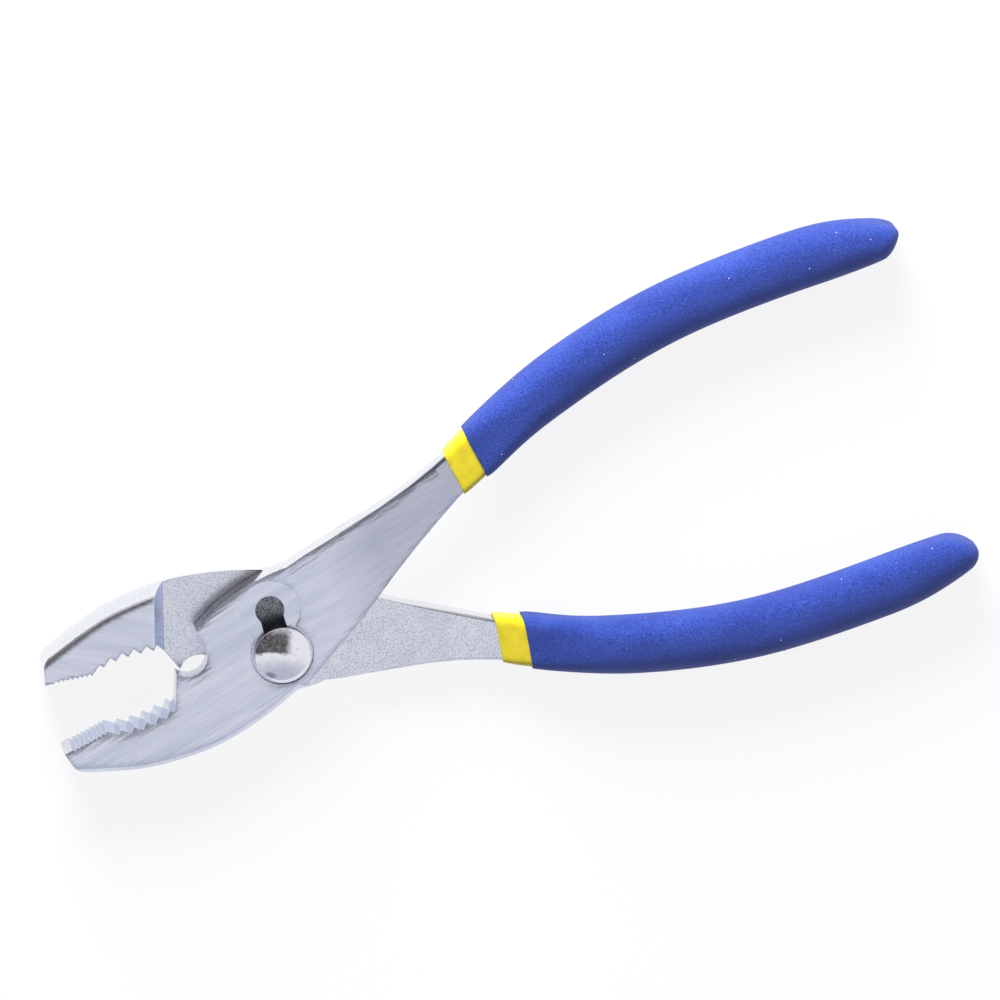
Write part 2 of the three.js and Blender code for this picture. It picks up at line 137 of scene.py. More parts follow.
def make_camera():
    axes = picture_axes()
    off_x = (FRAME_PIXELS / 2 - PIVOT_PIXEL[0]) / PIXELS_PER_MM * MM
    off_y = -(FRAME_PIXELS / 2 - PIVOT_PIXEL[1]) / PIXELS_PER_MM * MM
    data = bpy.data.cameras.new("camera")
    data.sensor_width = SENSOR
    data.lens = SENSOR * CAMERA_DISTANCE / (FRAME_PIXELS / PIXELS_PER_MM * MM)
    data.clip_start = NEAR_CLIP
    camera = bpy.data.objects.new("camera", data)
    place = Vector((0, 0, MID_HEIGHT)) + axes.transposed() @ Vector((off_x, off_y, CAMERA_DISTANCE))
    camera.matrix_world = Matrix.Translation(place) @ axes.transposed().to_4x4()
    bpy.context.scene.collection.objects.link(camera)
    bpy.context.scene.camera = camera


def make_world():
    """A white room. Shiny steel also sees its dark part, the dimmer room at the picture's foot and the
    round end of a lamp stand there."""
    world = bpy.data.worlds.new("white room")
    bpy.context.scene.world = world
    world.use_nodes = True
    tree = world.node_tree
    tree.nodes.clear()
    right, up, _ = picture_axes()
    way = add(tree, "ShaderNodeTexCoord").outputs["Generated"]
    wave = add(tree, "ShaderNodeTexNoise", {"Scale": ROOM_WAVE, "Detail": 2.0}, {"Vector": way})
    shift = add(tree, "ShaderNodeVectorMath", {1: (0.5, 0.5, 0.5)}, {0: wave.outputs["Color"]},
                operation="SUBTRACT")
    part = add(tree, "ShaderNodeVectorMath", {"Scale": ROOM_BEND}, {0: shift}, operation="SCALE")
    bent = add(tree, "ShaderNodeVectorMath", {}, {0: way, 1: part}, operation="ADD")
    dark = None
    for axis, (light_end, dark_end) in ((right, DARK_RIGHT), (up, DARK_FOOT), (up, DARK_TOP)):
        along = add(tree, "ShaderNodeVectorMath", {1: axis}, {0: bent}, operation="DOT_PRODUCT")
        fade = add(tree, "ShaderNodeMapRange", {"From Min": light_end, "From Max": dark_end},
                   {"Value": along}, interpolation_type="SMOOTHSTEP")
        dark = add(tree, "ShaderNodeMath", {}, {0: fade, 1: dark}, operation="MULTIPLY") if dark else fade
    to_stand = (right * STAND_PLACE[0] + up * STAND_PLACE[1]).normalized()
    near_stand = add(tree, "ShaderNodeVectorMath", {1: to_stand}, {0: way}, operation="DOT_PRODUCT")
    stand = add(tree, "ShaderNodeMapRange", {"From Min": STAND_EDGE, "From Max": 1.0},
                {"Value": near_stand}, interpolation_type="SMOOTHSTEP")
    height = add(tree, "ShaderNodeVectorMath", {1: up}, {0: bent}, operation="DOT_PRODUCT")
    rise = add(tree, "ShaderNodeMapRange", {"From Min": FOOT_RISE[0], "From Max": FOOT_RISE[1]},
               {"Value": height}, interpolation_type="SMOOTHSTEP")
    foot = add(tree, "ShaderNodeMix", {"A": linear("C9CAD8"), "B": linear("FFFFFF")}, {"Factor": rise},
               data_type="RGBA")
    lamp = add(tree, "ShaderNodeMix", {"B": linear("8E8FA4")}, {"Factor": stand, "A": foot}, data_type="RGBA")
    folds = add(tree, "ShaderNodeTexNoise", {"Scale": FOLD_WAVE, "Detail": 3.0}, {"Vector": way})
    fold = add(tree, "ShaderNodeMapRange", NOISE_RANGE, {"Value": folds})
    cloth = add(tree, "ShaderNodeMix", {"A": linear("1B1A1D"), "B": linear("8F8988")}, {"Factor": fold},
                data_type="RGBA")
    room = add(tree, "ShaderNodeMix", {}, {"Factor": dark, "A": lamp, "B": cloth}, data_type="RGBA")
    rays = add(tree, "ShaderNodeLightPath").outputs
    seen = add(tree, "ShaderNodeMix", {"A": linear(ROOM_LIGHT)},
               {"Factor": rays["Is Glossy Ray"], "B": room}, data_type="RGBA")
    shown = add(tree, "ShaderNodeMix", {"B": linear("FFFFFF")},
                {"Factor": rays["Is Camera Ray"], "A": seen}, data_type="RGBA")
    background = add(tree, "ShaderNodeBackground", {"Strength": 1.0}, {"Color": shown})
    add(tree, "ShaderNodeOutputWorld", {}, {"Surface": background})


# The finish: how close points of a solid are one point, how short an edge is dropped and by how many
# degrees faces may turn and still be joined as one flat. Then how wide a broken edge is, in how many steps,
# which turns in degrees make an edge worth breaking, anywhere and beside a flat face, how upright a flat
# face's normal is, and how deep under the outermost height a face is still the outer one. Last, how finely
# the dipped coats and the head are rounded, which turns in degrees make an edge that stays, how much of it
# stays, and how skew the quads may be, in degrees, that their triangles are joined to.
WELD = 0.004 * MM
SLIVER = 0.06 * MM
FLAT_TURN = 0.6
BROKEN_EDGE = 0.09 * MM
BROKEN_EDGE_STEPS = 2
SHARP_TURN = 26.0
FACE_EDGE_TURN = 7.0
FLAT_FACE = 0.999
OUTER_DEPTH = 0.3 * MM
ROUNDING_LEVELS = 2
ROUNDED_EDGE_TURN = 40.0
ROUNDED_EDGE_CREASE = 0.8
ROUNDED_QUAD_SKEW = 52.0

# The finishes of a lever, in the order of its material slots.
FINISHES = ("edges", "face", "seat", "lap", "teeth", "shaded_flanks")

# The teeth: where the jaws end, and how far a flank turns to the handles to take the darker, bluer
# copy of the teeth's finish, a painted shade.
JAW_END = -10 * MM
FLANK_TURN = 0.5

# The lip of a dipped coat: which faces of its front make it, the gap that tells its inner edge from
# its outer one in the solid, how far its inner edge sinks in and how thick it ends.
LIP_TURN = 0.7
LIP_REACH = 12 * MM
LIP_GAP = 0.5 * MM
LIP_SINK = 0.1 * MM
LIP_WALL = 0.35 * MM

# The free ends of the grips, cut at a slant: how long a stretch of the grip takes part, and how fast the cut
# fades out along it. For each grip, the way that the handle runs at its end, in degrees from x, places
# across the handle, and how far the end slides along the handle at them, both in millimetres.
END_REACH = 12 * MM
END_FADE = 1.5
GRIP_ENDS = {"slotted_lever_grip": (-10.75, (-5, -3, -1, 2, 3, 5), (-0.6, -1.4, -0.8, 0.8, 0.6, -2.5)),
             "pinned_lever_grip": (1.25, (-5, 0.4, 5.4), (0, 0.3, -3))}

# Where along the levers the neck begins, and from where on it is fully darkened: painted shade on the neck's
# ground face, in place of its dark reflection.
NECK_START = 14 * MM
NECK_SHADE_FULL = 26 * MM

# Painted shade on the lap under the slot, darkening it as the slot's dark hollow: its middle, its fully dark
# part and its fading edge.
SLOT_SHADE_CENTRE = (0.3 * MM, 4.9 * MM, 0)
SLOT_SHADE_RADIUS = 7 * MM
SLOT_SHADE_EDGE = 9.5 * MM

# The least width of a rolled edge, as a share of its full one, and how many rays find it.
LEAST_ROLL = 0.1
ROLL_SAMPLES = 6

# The way that the bolt's head was wiped, in degrees from x, and the refraction of soft vinyl.
BOLT_WIPE = 40.0
VINYL_IOR = 1.53

# The marks of the finishes: how long one is in millimetres in x, y and z, or along the grind or the wipe,
# across it and in z. The scratches, dents, broached and wiped lines and the speckle are drawn coarser than
# the real ones, to show.
SCRATCH = (6, 0.16, 0.16)
BELT_PASS = (45, 3, 3)
ROLLED_STROKE = (5, 0.45, 0.45)
DENT = (0.34, 0.34, 0.34)
FORGED_CLOUD = (6, 4, 4)
BUFFED_SWELL = (3, 3, 3)
BUFFED_LINE = (0.3, 0.3, 1.2)
BROACHED_LINE = (0.2, 0.2, 4)
WIPED_LINE = (3, 0.15, 0.15)
PIT = (0.7, 0.7, 0.7)
PLATED_CLOUD = (1.6, 1.6, 1.6)
VINYL_SPECKLE = (0.4, 0.4, 0.4)
VINYL_CLOUD = (14, 6, 6)
VINYL_SWELL = (2.2, 2.2, 2.2)


def ground_steel(name, turn, rolled_edge):
    """Belt-ground tool steel. Fine parallel scratches spread the reflection across the grind. Where the
    belt has rolled the edges over, they mirror another part of the room in ragged strokes. The neck's colour
    is darkened along x, a painted shade."""
    material, tree = new_material(name)
    place = add(tree, "ShaderNodeTexCoord").outputs["Object"]
    grind = add(tree, "ShaderNodeMapping", {"Rotation": (0, 0, -math.radians(turn))}, {"Vector": place})
    lines = add(tree, "ShaderNodeMapping", {"Scale": marks(SCRATCH)}, {"Vector": grind})
    scratches = add(tree, "ShaderNodeTexNoise", {"Scale": 1.0, "Detail": 3.0}, {"Vector": lines})
    passes = add(tree, "ShaderNodeMapping", {"Scale": marks(BELT_PASS)}, {"Vector": grind})
    bands = add(tree, "ShaderNodeTexNoise", {"Scale": 1.0}, {"Vector": passes})
    fine = add(tree, "ShaderNodeMapRange", NOISE_RANGE, {"Value": scratches})
    broad = add(tree, "ShaderNodeMapRange", NOISE_RANGE, {"Value": bands})
    tone = add(tree, "ShaderNodeMix", {"A": linear("CDD2E2"), "B": linear("ECF0FC")}, {"Factor": fine},
               data_type="RGBA")
    shade = add(tree, "ShaderNodeMix", {"A": linear("ECEDF2"), "B": linear("FFFFFF")}, {"Factor": broad},
                data_type="RGBA")
    clean = add(tree, "ShaderNodeMix", {"Factor": 1.0}, {"A": tone, "B": shade}, data_type="RGBA",
                blend_type="MULTIPLY")
    # Painted shade: along x the colour darkens over the neck, from where it begins to its full shade.
    along = add(tree, "ShaderNodeSeparateXYZ", {}, {0: place})
    painted_neck_shade = add(tree, "ShaderNodeMapRange", {"From Min": NECK_START, "From Max": NECK_SHADE_FULL},
                  {"Value": along})
    colour = add(tree, "ShaderNodeMix", {"B": linear("E4E4E7")}, {"Factor": painted_neck_shade, "A": clean},
                 data_type="RGBA", blend_type="MULTIPLY")
    dull = add(tree, "ShaderNodeMapRange", {**NOISE_RANGE, "To Min": 0.24, "To Max": 0.36},
               {"Value": scratches})
    bump = add(tree, "ShaderNodeBump", {"Strength": 0.3, "Distance": 0.02 * MM}, {"Height": scratches})
    if rolled_edge:
        ends = add(tree, "ShaderNodeMapping", {"Scale": marks(ROLLED_STROKE)}, {"Vector": grind})
        strokes = add(tree, "ShaderNodeTexNoise", {"Scale": 1.0}, {"Vector": ends})
        width = add(tree, "ShaderNodeMapRange",
                    {**NOISE_RANGE, "To Min": LEAST_ROLL * rolled_edge, "To Max": rolled_edge},
                    {"Value": strokes})
        rolled = add(tree, "ShaderNodeBevel", {}, {"Radius": width}, samples=ROLL_SAMPLES)
        tree.links.new(rolled.outputs["Normal"], bump.inputs["Normal"])
    shader = add(tree, "ShaderNodeBsdfPrincipled", {"Metallic": 1.0},
                 {"Base Color": colour, "Roughness": dull, "Normal": bump})
    add(tree, "ShaderNodeOutputMaterial", {}, {"Surface": shader})
    return material


def forged_steel(name, shaded_under_slot):
    """Tumbled forging. Small dents in all directions give a bright satin with dark dots. If asked, what lies
    under the slot is painted a mottled black: painted shade of the slot's dark hollow."""
    material, tree = new_material(name)
    place = add(tree, "ShaderNodeTexCoord").outputs["Object"]
    pits = add(tree, "ShaderNodeMapping", {"Scale": marks(DENT)}, {"Vector": place})
    dents = add(tree, "ShaderNodeTexNoise", {"Scale": 1.0, "Detail": 3.0}, {"Vector": pits})
    blots = add(tree, "ShaderNodeMapping", {"Scale": marks(FORGED_CLOUD)}, {"Vector": place})
    clouds = add(tree, "ShaderNodeTexNoise", {"Scale": 1.0, "Detail": 3.0}, {"Vector": blots})
    dots = add(tree, "ShaderNodeMapRange", {"From Min": 0.27, "From Max": 0.56}, {"Value": dents})
    broad = add(tree, "ShaderNodeMapRange", NOISE_RANGE, {"Value": clouds})
    tone = add(tree, "ShaderNodeMix", {"A": linear("B4B8C7"), "B": linear("F0F2FA")}, {"Factor": dots},
               data_type="RGBA")
    shade = add(tree, "ShaderNodeMix", {"A": linear("E6E8EE"), "B": linear("FFFFFF")}, {"Factor": broad},
                data_type="RGBA")
    colour = add(tree, "ShaderNodeMix", {"Factor": 1.0}, {"A": tone, "B": shade}, data_type="RGBA",
                 blend_type="MULTIPLY")
    # Painted shade: a mottled near-black patch around the slot's place on the lap, fading out at its edge.
    if shaded_under_slot:
        off = add(tree, "ShaderNodeVectorMath", {1: SLOT_SHADE_CENTRE}, {0: place}, operation="SUBTRACT")
        flat = add(tree, "ShaderNodeVectorMath", {1: (1, 1, 0)}, {0: off}, operation="MULTIPLY")
        reach = add(tree, "ShaderNodeVectorMath", {}, {0: flat}, operation="LENGTH")
        slot_shade = add(tree, "ShaderNodeMapRange", {"From Min": SLOT_SHADE_EDGE, "From Max": SLOT_SHADE_RADIUS},
                  {"Value": reach})
        mottle = add(tree, "ShaderNodeMapRange", NOISE_RANGE, {"Value": dents})
        slot_shade_tone = add(tree, "ShaderNodeMix", {"A": linear("26282C"), "B": linear("A3A6AF")}, {"Factor": mottle},
                    data_type="RGBA")
        colour = add(tree, "ShaderNodeMix", {}, {"Factor": slot_shade, "A": colour, "B": slot_shade_tone}, data_type="RGBA")
    dull = add(tree, "ShaderNodeMapRange", {**NOISE_RANGE, "To Min": 0.26, "To Max": 0.36}, {"Value": clouds})
    bump = add(tree, "ShaderNodeBump", {"Strength": 0.4, "Distance": 0.05 * MM}, {"Height": dents})
    shader = add(tree, "ShaderNodeBsdfPrincipled", {"Metallic": 1.0},
                 {"Base Color": colour, "Roughness": dull, "Normal": bump})
    add(tree, "ShaderNodeOutputMaterial", {}, {"Surface": shader})
    return material


def trimmed_steel():
    """Steel where the flash was trimmed and buffed: smooth edges and backs that mirror the table."""
    material, tree = new_material("buffed_steel_edges")
    place = add(tree, "ShaderNodeTexCoord").outputs["Object"]
    swells = add(tree, "ShaderNodeMapping", {"Scale": marks(BUFFED_SWELL)}, {"Vector": place})
    waves = add(tree, "ShaderNodeTexNoise", {"Scale": 1.0}, {"Vector": swells})
    lines = add(tree, "ShaderNodeMapping", {"Scale": marks(BUFFED_LINE)}, {"Vector": place})
    hairlines = add(tree, "ShaderNodeTexNoise", {"Scale": 1.0}, {"Vector": lines})
    fine = add(tree, "ShaderNodeMapRange", NOISE_RANGE, {"Value": hairlines})
    colour = add(tree, "ShaderNodeMix", {"A": linear("E2E4EC"), "B": linear("F3F4F9")}, {"Factor": fine},
                 data_type="RGBA")
    dull = add(tree, "ShaderNodeMapRange", {**NOISE_RANGE, "To Min": 0.09, "To Max": 0.18}, {"Value": waves})
    bump = add(tree, "ShaderNodeBump", {"Strength": 0.25, "Distance": 0.04 * MM}, {"Height": hairlines})
    shader = add(tree, "ShaderNodeBsdfPrincipled", {"Metallic": 1.0},
                 {"Base Color": colour, "Roughness": dull, "Normal": bump})
    add(tree, "ShaderNodeOutputMaterial", {}, {"Surface": shader})
    return material


def broached_steel(name, dark, light):
    """Broached steel in the given colours. The tool leaves lines across the jaw. A darker, bluer copy of it
    is painted shade on the flanks that face the handles."""
    material, tree = new_material(name)
    place = add(tree, "ShaderNodeTexCoord").outputs["Object"]
    lines = add(tree, "ShaderNodeMapping", {"Scale": marks(BROACHED_LINE)}, {"Vector": place})
    chatter = add(tree, "ShaderNodeTexNoise", {"Scale": 1.0}, {"Vector": lines})
    fine = add(tree, "ShaderNodeMapRange", NOISE_RANGE, {"Value": chatter})
    colour = add(tree, "ShaderNodeMix", {"A": linear(dark), "B": linear(light)}, {"Factor": fine},
                 data_type="RGBA")
    dull = add(tree, "ShaderNodeMapRange", {**NOISE_RANGE, "To Min": 0.2, "To Max": 0.3}, {"Value": chatter})
    bump = add(tree, "ShaderNodeBump", {"Strength": 0.25, "Distance": 0.03 * MM}, {"Height": chatter})
    shader = add(tree, "ShaderNodeBsdfPrincipled", {"Metallic": 1.0},
                 {"Base Color": colour, "Roughness": dull, "Normal": bump})
    add(tree, "ShaderNodeOutputMaterial", {}, {"Surface": shader})
    return material


def polished_steel():
    """Polished steel. The dome mirrors the room, and hairlines and a few pits dull it a little."""
    material, tree = new_material("polished_steel")
    place = add(tree, "ShaderNodeTexCoord").outputs["Object"]
    wipe = add(tree, "ShaderNodeMapping", {"Rotation": (0, 0, -math.radians(BOLT_WIPE))}, {"Vector": place})
    lines = add(tree, "ShaderNodeMapping", {"Scale": marks(WIPED_LINE)}, {"Vector": wipe})
    hairlines = add(tree, "ShaderNodeTexNoise", {"Scale": 1.0}, {"Vector": lines})
    spots = add(tree, "ShaderNodeMapping", {"Scale": marks(PIT)}, {"Vector": place})
    pits = add(tree, "ShaderNodeTexNoise", {"Scale": 1.0, "Detail": 1.0}, {"Vector": spots})
    pitted = add(tree, "ShaderNodeMapRange", {"From Min": 0.7, "From Max": 0.76}, {"Value": pits})
    colour = add(tree, "ShaderNodeMix", {"A": linear("E2E3EB"), "B": linear("8B8A92")}, {"Factor": pitted},
                 data_type="RGBA")
    dull = add(tree, "ShaderNodeMapRange", {**NOISE_RANGE, "To Min": 0.07, "To Max": 0.15},
               {"Value": hairlines})
    shader = add(tree, "ShaderNodeBsdfPrincipled", {"Metallic": 1.0},
                 {"Base Color": colour, "Roughness": dull})
    add(tree, "ShaderNodeOutputMaterial", {}, {"Surface": shader})
    return material


def plated_steel():
    """Zinc-plated steel. A slightly clouded bright grey, rubbed duller in patches."""
    material, tree = new_material("zinc_plated_steel")
    place = add(tree, "ShaderNodeTexCoord").outputs["Object"]
    blots = add(tree, "ShaderNodeMapping", {"Scale": marks(PLATED_CLOUD)}, {"Vector": place})
    clouds = add(tree, "ShaderNodeTexNoise", {"Scale": 1.0, "Detail": 3.0}, {"Vector": blots})
    broad = add(tree, "ShaderNodeMapRange", NOISE_RANGE, {"Value": clouds})
    colour = add(tree, "ShaderNodeMix", {"A": linear("B9BDC4"), "B": linear("D2D5DA")}, {"Factor": broad},
                 data_type="RGBA")
    dull = add(tree, "ShaderNodeMapRange", {**NOISE_RANGE, "To Min": 0.2, "To Max": 0.36}, {"Value": clouds})
    shader = add(tree, "ShaderNodeBsdfPrincipled", {"Metallic": 1.0},
                 {"Base Color": colour, "Roughness": dull})
    add(tree, "ShaderNodeOutputMaterial", {}, {"Surface": shader})
    return material


def blue_vinyl():
    """Dipped plastisol. A matt skin with a fine speckle, in clouds of a deeper and a paler blue."""
    material, tree = new_material("blue_dipped_vinyl")
    place = add(tree, "ShaderNodeTexCoord").outputs["Object"]
    grains = add(tree, "ShaderNodeMapping", {"Scale": marks(VINYL_SPECKLE)}, {"Vector": place})
    speckle = add(tree, "ShaderNodeTexNoise", {"Scale": 1.0, "Detail": 3.0}, {"Vector": grains})
    blots = add(tree, "ShaderNodeMapping", {"Scale": marks(VINYL_CLOUD)}, {"Vector": place})
    clouds = add(tree, "ShaderNodeTexNoise", {"Scale": 1.0}, {"Vector": blots})
    fine = add(tree, "ShaderNodeMapRange", NOISE_RANGE, {"Value": speckle})
    broad = add(tree, "ShaderNodeMapRange", NOISE_RANGE, {"Value": clouds})
    tone = add(tree, "ShaderNodeMix", {"A": linear("1F3180"), "B": linear("3A52A4")}, {"Factor": fine},
               data_type="RGBA")
    shade = add(tree, "ShaderNodeMix", {"A": linear("DDDDE6"), "B": linear("FFFFFF")}, {"Factor": broad},
                data_type="RGBA")
    colour = add(tree, "ShaderNodeMix", {"Factor": 1.0}, {"A": tone, "B": shade}, data_type="RGBA",
                 blend_type="MULTIPLY")
    dull = add(tree, "ShaderNodeMapRange", {**NOISE_RANGE, "To Min": 0.52, "To Max": 0.7}, {"Value": speckle})
    bump = add(tree, "ShaderNodeBump", {"Strength": 0.9, "Distance": 0.12 * MM}, {"Height": speckle})
    shader = add(tree, "ShaderNodeBsdfPrincipled", {"IOR": VINYL_IOR},
                 {"Base Color": colour, "Roughness": dull, "Normal": bump})
    add(tree, "ShaderNodeOutputMaterial", {}, {"Surface": shader})
    return material


def yellow_vinyl():
    """Dipped plastisol, thin and smooth. A half gloss that shows the steel's edges as pale lines."""
    material, tree = new_material("yellow_dipped_vinyl")
    place = add(tree, "ShaderNodeTexCoord").outputs["Object"]
    swells = add(tree, "ShaderNodeMapping", {"Scale": marks(VINYL_SWELL)}, {"Vector": place})
    ripple = add(tree, "ShaderNodeTexNoise", {"Scale": 1.0}, {"Vector": swells})
    broad = add(tree, "ShaderNodeMapRange", NOISE_RANGE, {"Value": ripple})
    colour = add(tree, "ShaderNodeMix", {"A": linear("C6B316"), "B": linear("D6C31E")}, {"Factor": broad},
                 data_type="RGBA")
    dull = add(tree, "ShaderNodeMapRange", {**NOISE_RANGE, "To Min": 0.28, "To Max": 0.38}, {"Value": ripple})
    bump = add(tree, "ShaderNodeBump", {"Strength": 0.2, "Distance": 0.1 * MM}, {"Height": ripple})
    shader = add(tree, "ShaderNodeBsdfPrincipled", {"IOR": VINYL_IOR},
                 {"Base Color": colour, "Roughness": dull, "Normal": bump})
    add(tree, "ShaderNodeOutputMaterial", {}, {"Surface": shader})
    return material


def copy_of(node):
    """A piece with a node's own shape, its loose triangles joined, ready for its finish."""
    piece = bpy.data.objects.new(node + "_finished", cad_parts[node].data.copy())
    piece.data.materials.clear()
    bpy.context.scene.collection.objects.link(piece)
    work = bmesh.new()
    work.from_mesh(piece.data)
    bmesh.ops.remove_doubles(work, verts=work.verts, dist=WELD)
    bmesh.ops.dissolve_degenerate(work, edges=work.edges, dist=SLIVER)
    bmesh.ops.recalc_face_normals(work, faces=work.faces)
    return piece, work


def settle(piece, work, node, body):
    """The piece takes its node's place."""
    for face in work.faces:
        face.smooth = True
    work.to_mesh(piece.data)
    work.free()
    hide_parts(node)
    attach(piece, body)


def broken_edges(piece, work, width):
    """Marks the sharp edges of a forged or cut piece and rounds them by a fine bevel."""
    mark = work.edges.layers.float.new("bevel_weight_edge")
    for edge in work.edges:
        if len(edge.link_faces) != 2:
            continue
        turn = math.degrees(edge.calc_face_angle(0.0))
        beside_flat = any(abs(face.normal.z) > FLAT_FACE for face in edge.link_faces)
        if turn > SHARP_TURN or (beside_flat and turn > FACE_EDGE_TURN):
            edge[mark] = 1.0
    bevel = piece.modifiers.new("broken edges", "BEVEL")
    bevel.limit_method = "WEIGHT"
    bevel.width = width
    bevel.segments = BROKEN_EDGE_STEPS
    bevel.use_clamp_overlap = False
    flat = piece.modifiers.new("flat faces stay flat", "WEIGHTED_NORMAL")
    flat.keep_sharp = True


def make_lever(node, body, finishes, mouth_side, ground_turn, ground_depth):
    """A forged lever. What turns up or down more than ground_turn is ground: the outer face, and without the
    rolled edges the seats down to ground_depth. Deeper, on the lap, it is as forged. The edges and the back
    are trimmed bright, and the teeth, on the mouth's side of y, are as broached."""
    piece, work = copy_of(node)
    bmesh.ops.dissolve_limit(work, angle_limit=math.radians(FLAT_TURN), verts=work.verts, edges=work.edges)
    for finish in FINISHES:
        piece.data.materials.append(finishes[finish])
    half = (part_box(node)[1].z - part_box(node)[0].z) / 2
    for face in work.faces:
        centre = face.calc_center_median()
        depth = half - abs(centre.z - MID_HEIGHT)
        finish = "edges"
        if abs(face.normal.z) > ground_turn:
            finish = "face" if depth < OUTER_DEPTH else "seat" if depth < ground_depth else "lap"
        elif centre.x < JAW_END and face.normal.y * mouth_side > 0:
            # Flanks that face the handles take a darker, bluer copy of the teeth's finish: painted shade.
            finish = "shaded_flanks" if face.normal.x > FLANK_TURN else "teeth"
        face.material_index = FINISHES.index(finish)
    broken_edges(piece, work, BROKEN_EDGE)
    settle(piece, work, node, body)


def make_nut(node, body, material):
    """A nut with broken edges, plated all over."""
    piece, work = copy_of(node)
    bmesh.ops.dissolve_limit(work, angle_limit=math.radians(FLAT_TURN), verts=work.verts, edges=work.edges)
    piece.data.materials.append(material)
    for face in work.faces:
        face.material_index = 0
    broken_edges(piece, work, BROKEN_EDGE)
    settle(piece, work, node, body)


def draw_in_lip(work, under):
    """A dip ends in a thin tight lip, so the coat's mouth is drawn in to the node that it covers."""
    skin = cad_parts[under].data
    covered = BVHTree.FromPolygons([v.co for v in skin.vertices], [p.vertices for p in skin.polygons])
    front = min(vert.co.x for vert in work.verts) + LIP_REACH
    lip = {vert for face in work.faces if face.normal.x < -LIP_TURN and face.calc_center_median().x < front
           for vert in face.verts}
    for vert in lip:
        place, _, _, gap = covered.find_nearest(vert.co)
        outward = (vert.co - place).normalized()
        vert.co = place + outward * (LIP_WALL if gap > LIP_GAP else -LIP_SINK)


def slant_end(work, turn, places, slides):
    """The free end of a grip: its skin slides along the handle, by an amount that depends on its place
    across and fades out towards the grip's middle."""
    along = Vector((math.cos(math.radians(turn)), math.sin(math.radians(turn)), 0))
    across = Vector((-along.y, along.x, 0))
    tip = max(along.dot(vert.co) for vert in work.verts)
    end = [vert for vert in work.verts if along.dot(vert.co) > tip - END_REACH]
    sides = [across.dot(vert.co) for vert in end]
    middle = (min(sides) + max(sides)) / 2
    for vert, side in zip(end, sides):
        depth = tip - along.dot(vert.co)
        fade = min(1.0, END_FADE * (1 - depth / END_REACH))
        vert.co += along * float(numpy.interp((side - middle) / MM, places, slides)) * MM * fade


def make_rounded(node, body, material, under=None):
    """A turned head, or a dipped coat on the node under it: rounded by subdivision, with its few sharp
    edges kept."""
    piece, work = copy_of(node)
    if under:
        draw_in_lip(work, under)
    bmesh.ops.join_triangles(work, faces=work.faces, angle_face_threshold=math.radians(SHARP_TURN),
                             angle_shape_threshold=math.radians(ROUNDED_QUAD_SKEW))
    crease = work.edges.layers.float.new("crease_edge")
    for edge in work.edges:
        if len(edge.link_faces) == 2 and math.degrees(edge.calc_face_angle(0.0)) > ROUNDED_EDGE_TURN:
            edge[crease] = ROUNDED_EDGE_CREASE
    if node in GRIP_ENDS:
        slant_end(work, *GRIP_ENDS[node])
    piece.data.materials.append(material)
    for face in work.faces:
        face.material_index = 0
    rounding = piece.modifiers.new("rounding", "SUBSURF")
    rounding.levels = ROUNDING_LEVELS
    rounding.render_levels = ROUNDING_LEVELS
    settle(piece, work, node, body)


# Dust on the grips: specks in a square metre, the size of one, how finely it is rounded, its least and most
# stretch in the skin and out of it, the number that fixes the scatter, and how far apart the kinds of dust
# lie, in millimetres.
DUST_DENSITY = 5500.0
DUST_RADIUS = 0.14 * MM
DUST_STEPS = 2
DUST_LEAST = (0.5, 0.5, 0.2)
DUST_MOST = (1.5, 1.0, 0.5)
DUST_SEED = 7
DUST_KIND = (4, 4, 4)


def dust():
    """Pale lint and grit. It breaks the even blue with a few light dots."""
    material, tree = new_material("pale_dust")
    place = add(tree, "ShaderNodeTexCoord").outputs["Object"]
    grains = add(tree, "ShaderNodeMapping", {"Scale": marks(DUST_KIND)}, {"Vector": place})
    kinds = add(tree, "ShaderNodeTexNoise", {"Scale": 1.0}, {"Vector": grains})
    kind = add(tree, "ShaderNodeMapRange", NOISE_RANGE, {"Value": kinds})
    colour = add(tree, "ShaderNodeMix", {"A": linear("D9DCE8"), "B": linear("B98F6A")}, {"Factor": kind},
                 data_type="RGBA")
    shader = add(tree, "ShaderNodeBsdfPrincipled", {"IOR": 1.5, "Roughness": 0.9}, {"Base Color": colour})
    add(tree, "ShaderNodeOutputMaterial", {}, {"Surface": shader})
    return material


def scatter_nodes(material):
    """Geometry nodes that scatter specks over a surface and give only the specks."""
    tree = bpy.data.node_groups.new("specks on a surface", "GeometryNodeTree")
    sockets = tree.interface
    sockets.new_socket("Geometry", in_out="INPUT", socket_type="NodeSocketGeometry")
    inputs = {"Density": "NodeSocketFloat", "Radius": "NodeSocketFloat", "Seed": "NodeSocketInt"}
    for name, kind in inputs.items():
        sockets.new_socket(name, in_out="INPUT", socket_type=kind)
    sockets.new_socket("Geometry", in_out="OUTPUT", socket_type="NodeSocketGeometry")
    given = add(tree, "NodeGroupInput").outputs
    points = add(tree, "GeometryNodeDistributePointsOnFaces", {},
                 {"Mesh": given["Geometry"], "Density": given["Density"], "Seed": given["Seed"]})
    speck = add(tree, "GeometryNodeMeshIcoSphere", {"Subdivisions": DUST_STEPS}, {"Radius": given["Radius"]})
    size = add(tree, "FunctionNodeRandomValue", {"Min": DUST_LEAST, "Max": DUST_MOST},
               {"Seed": given["Seed"]}, data_type="FLOAT_VECTOR")
    placed = add(tree, "GeometryNodeInstanceOnPoints", {},
                 {"Points": points, "Instance": speck,
                  "Rotation": points.outputs["Rotation"], "Scale": size})
    real = add(tree, "GeometryNodeRealizeInstances", {}, {"Geometry": placed})
    painted = add(tree, "GeometryNodeSetMaterial", {"Material": material}, {"Geometry": real})
    add(tree, "NodeGroupOutput", {}, {"Geometry": painted})
    return tree


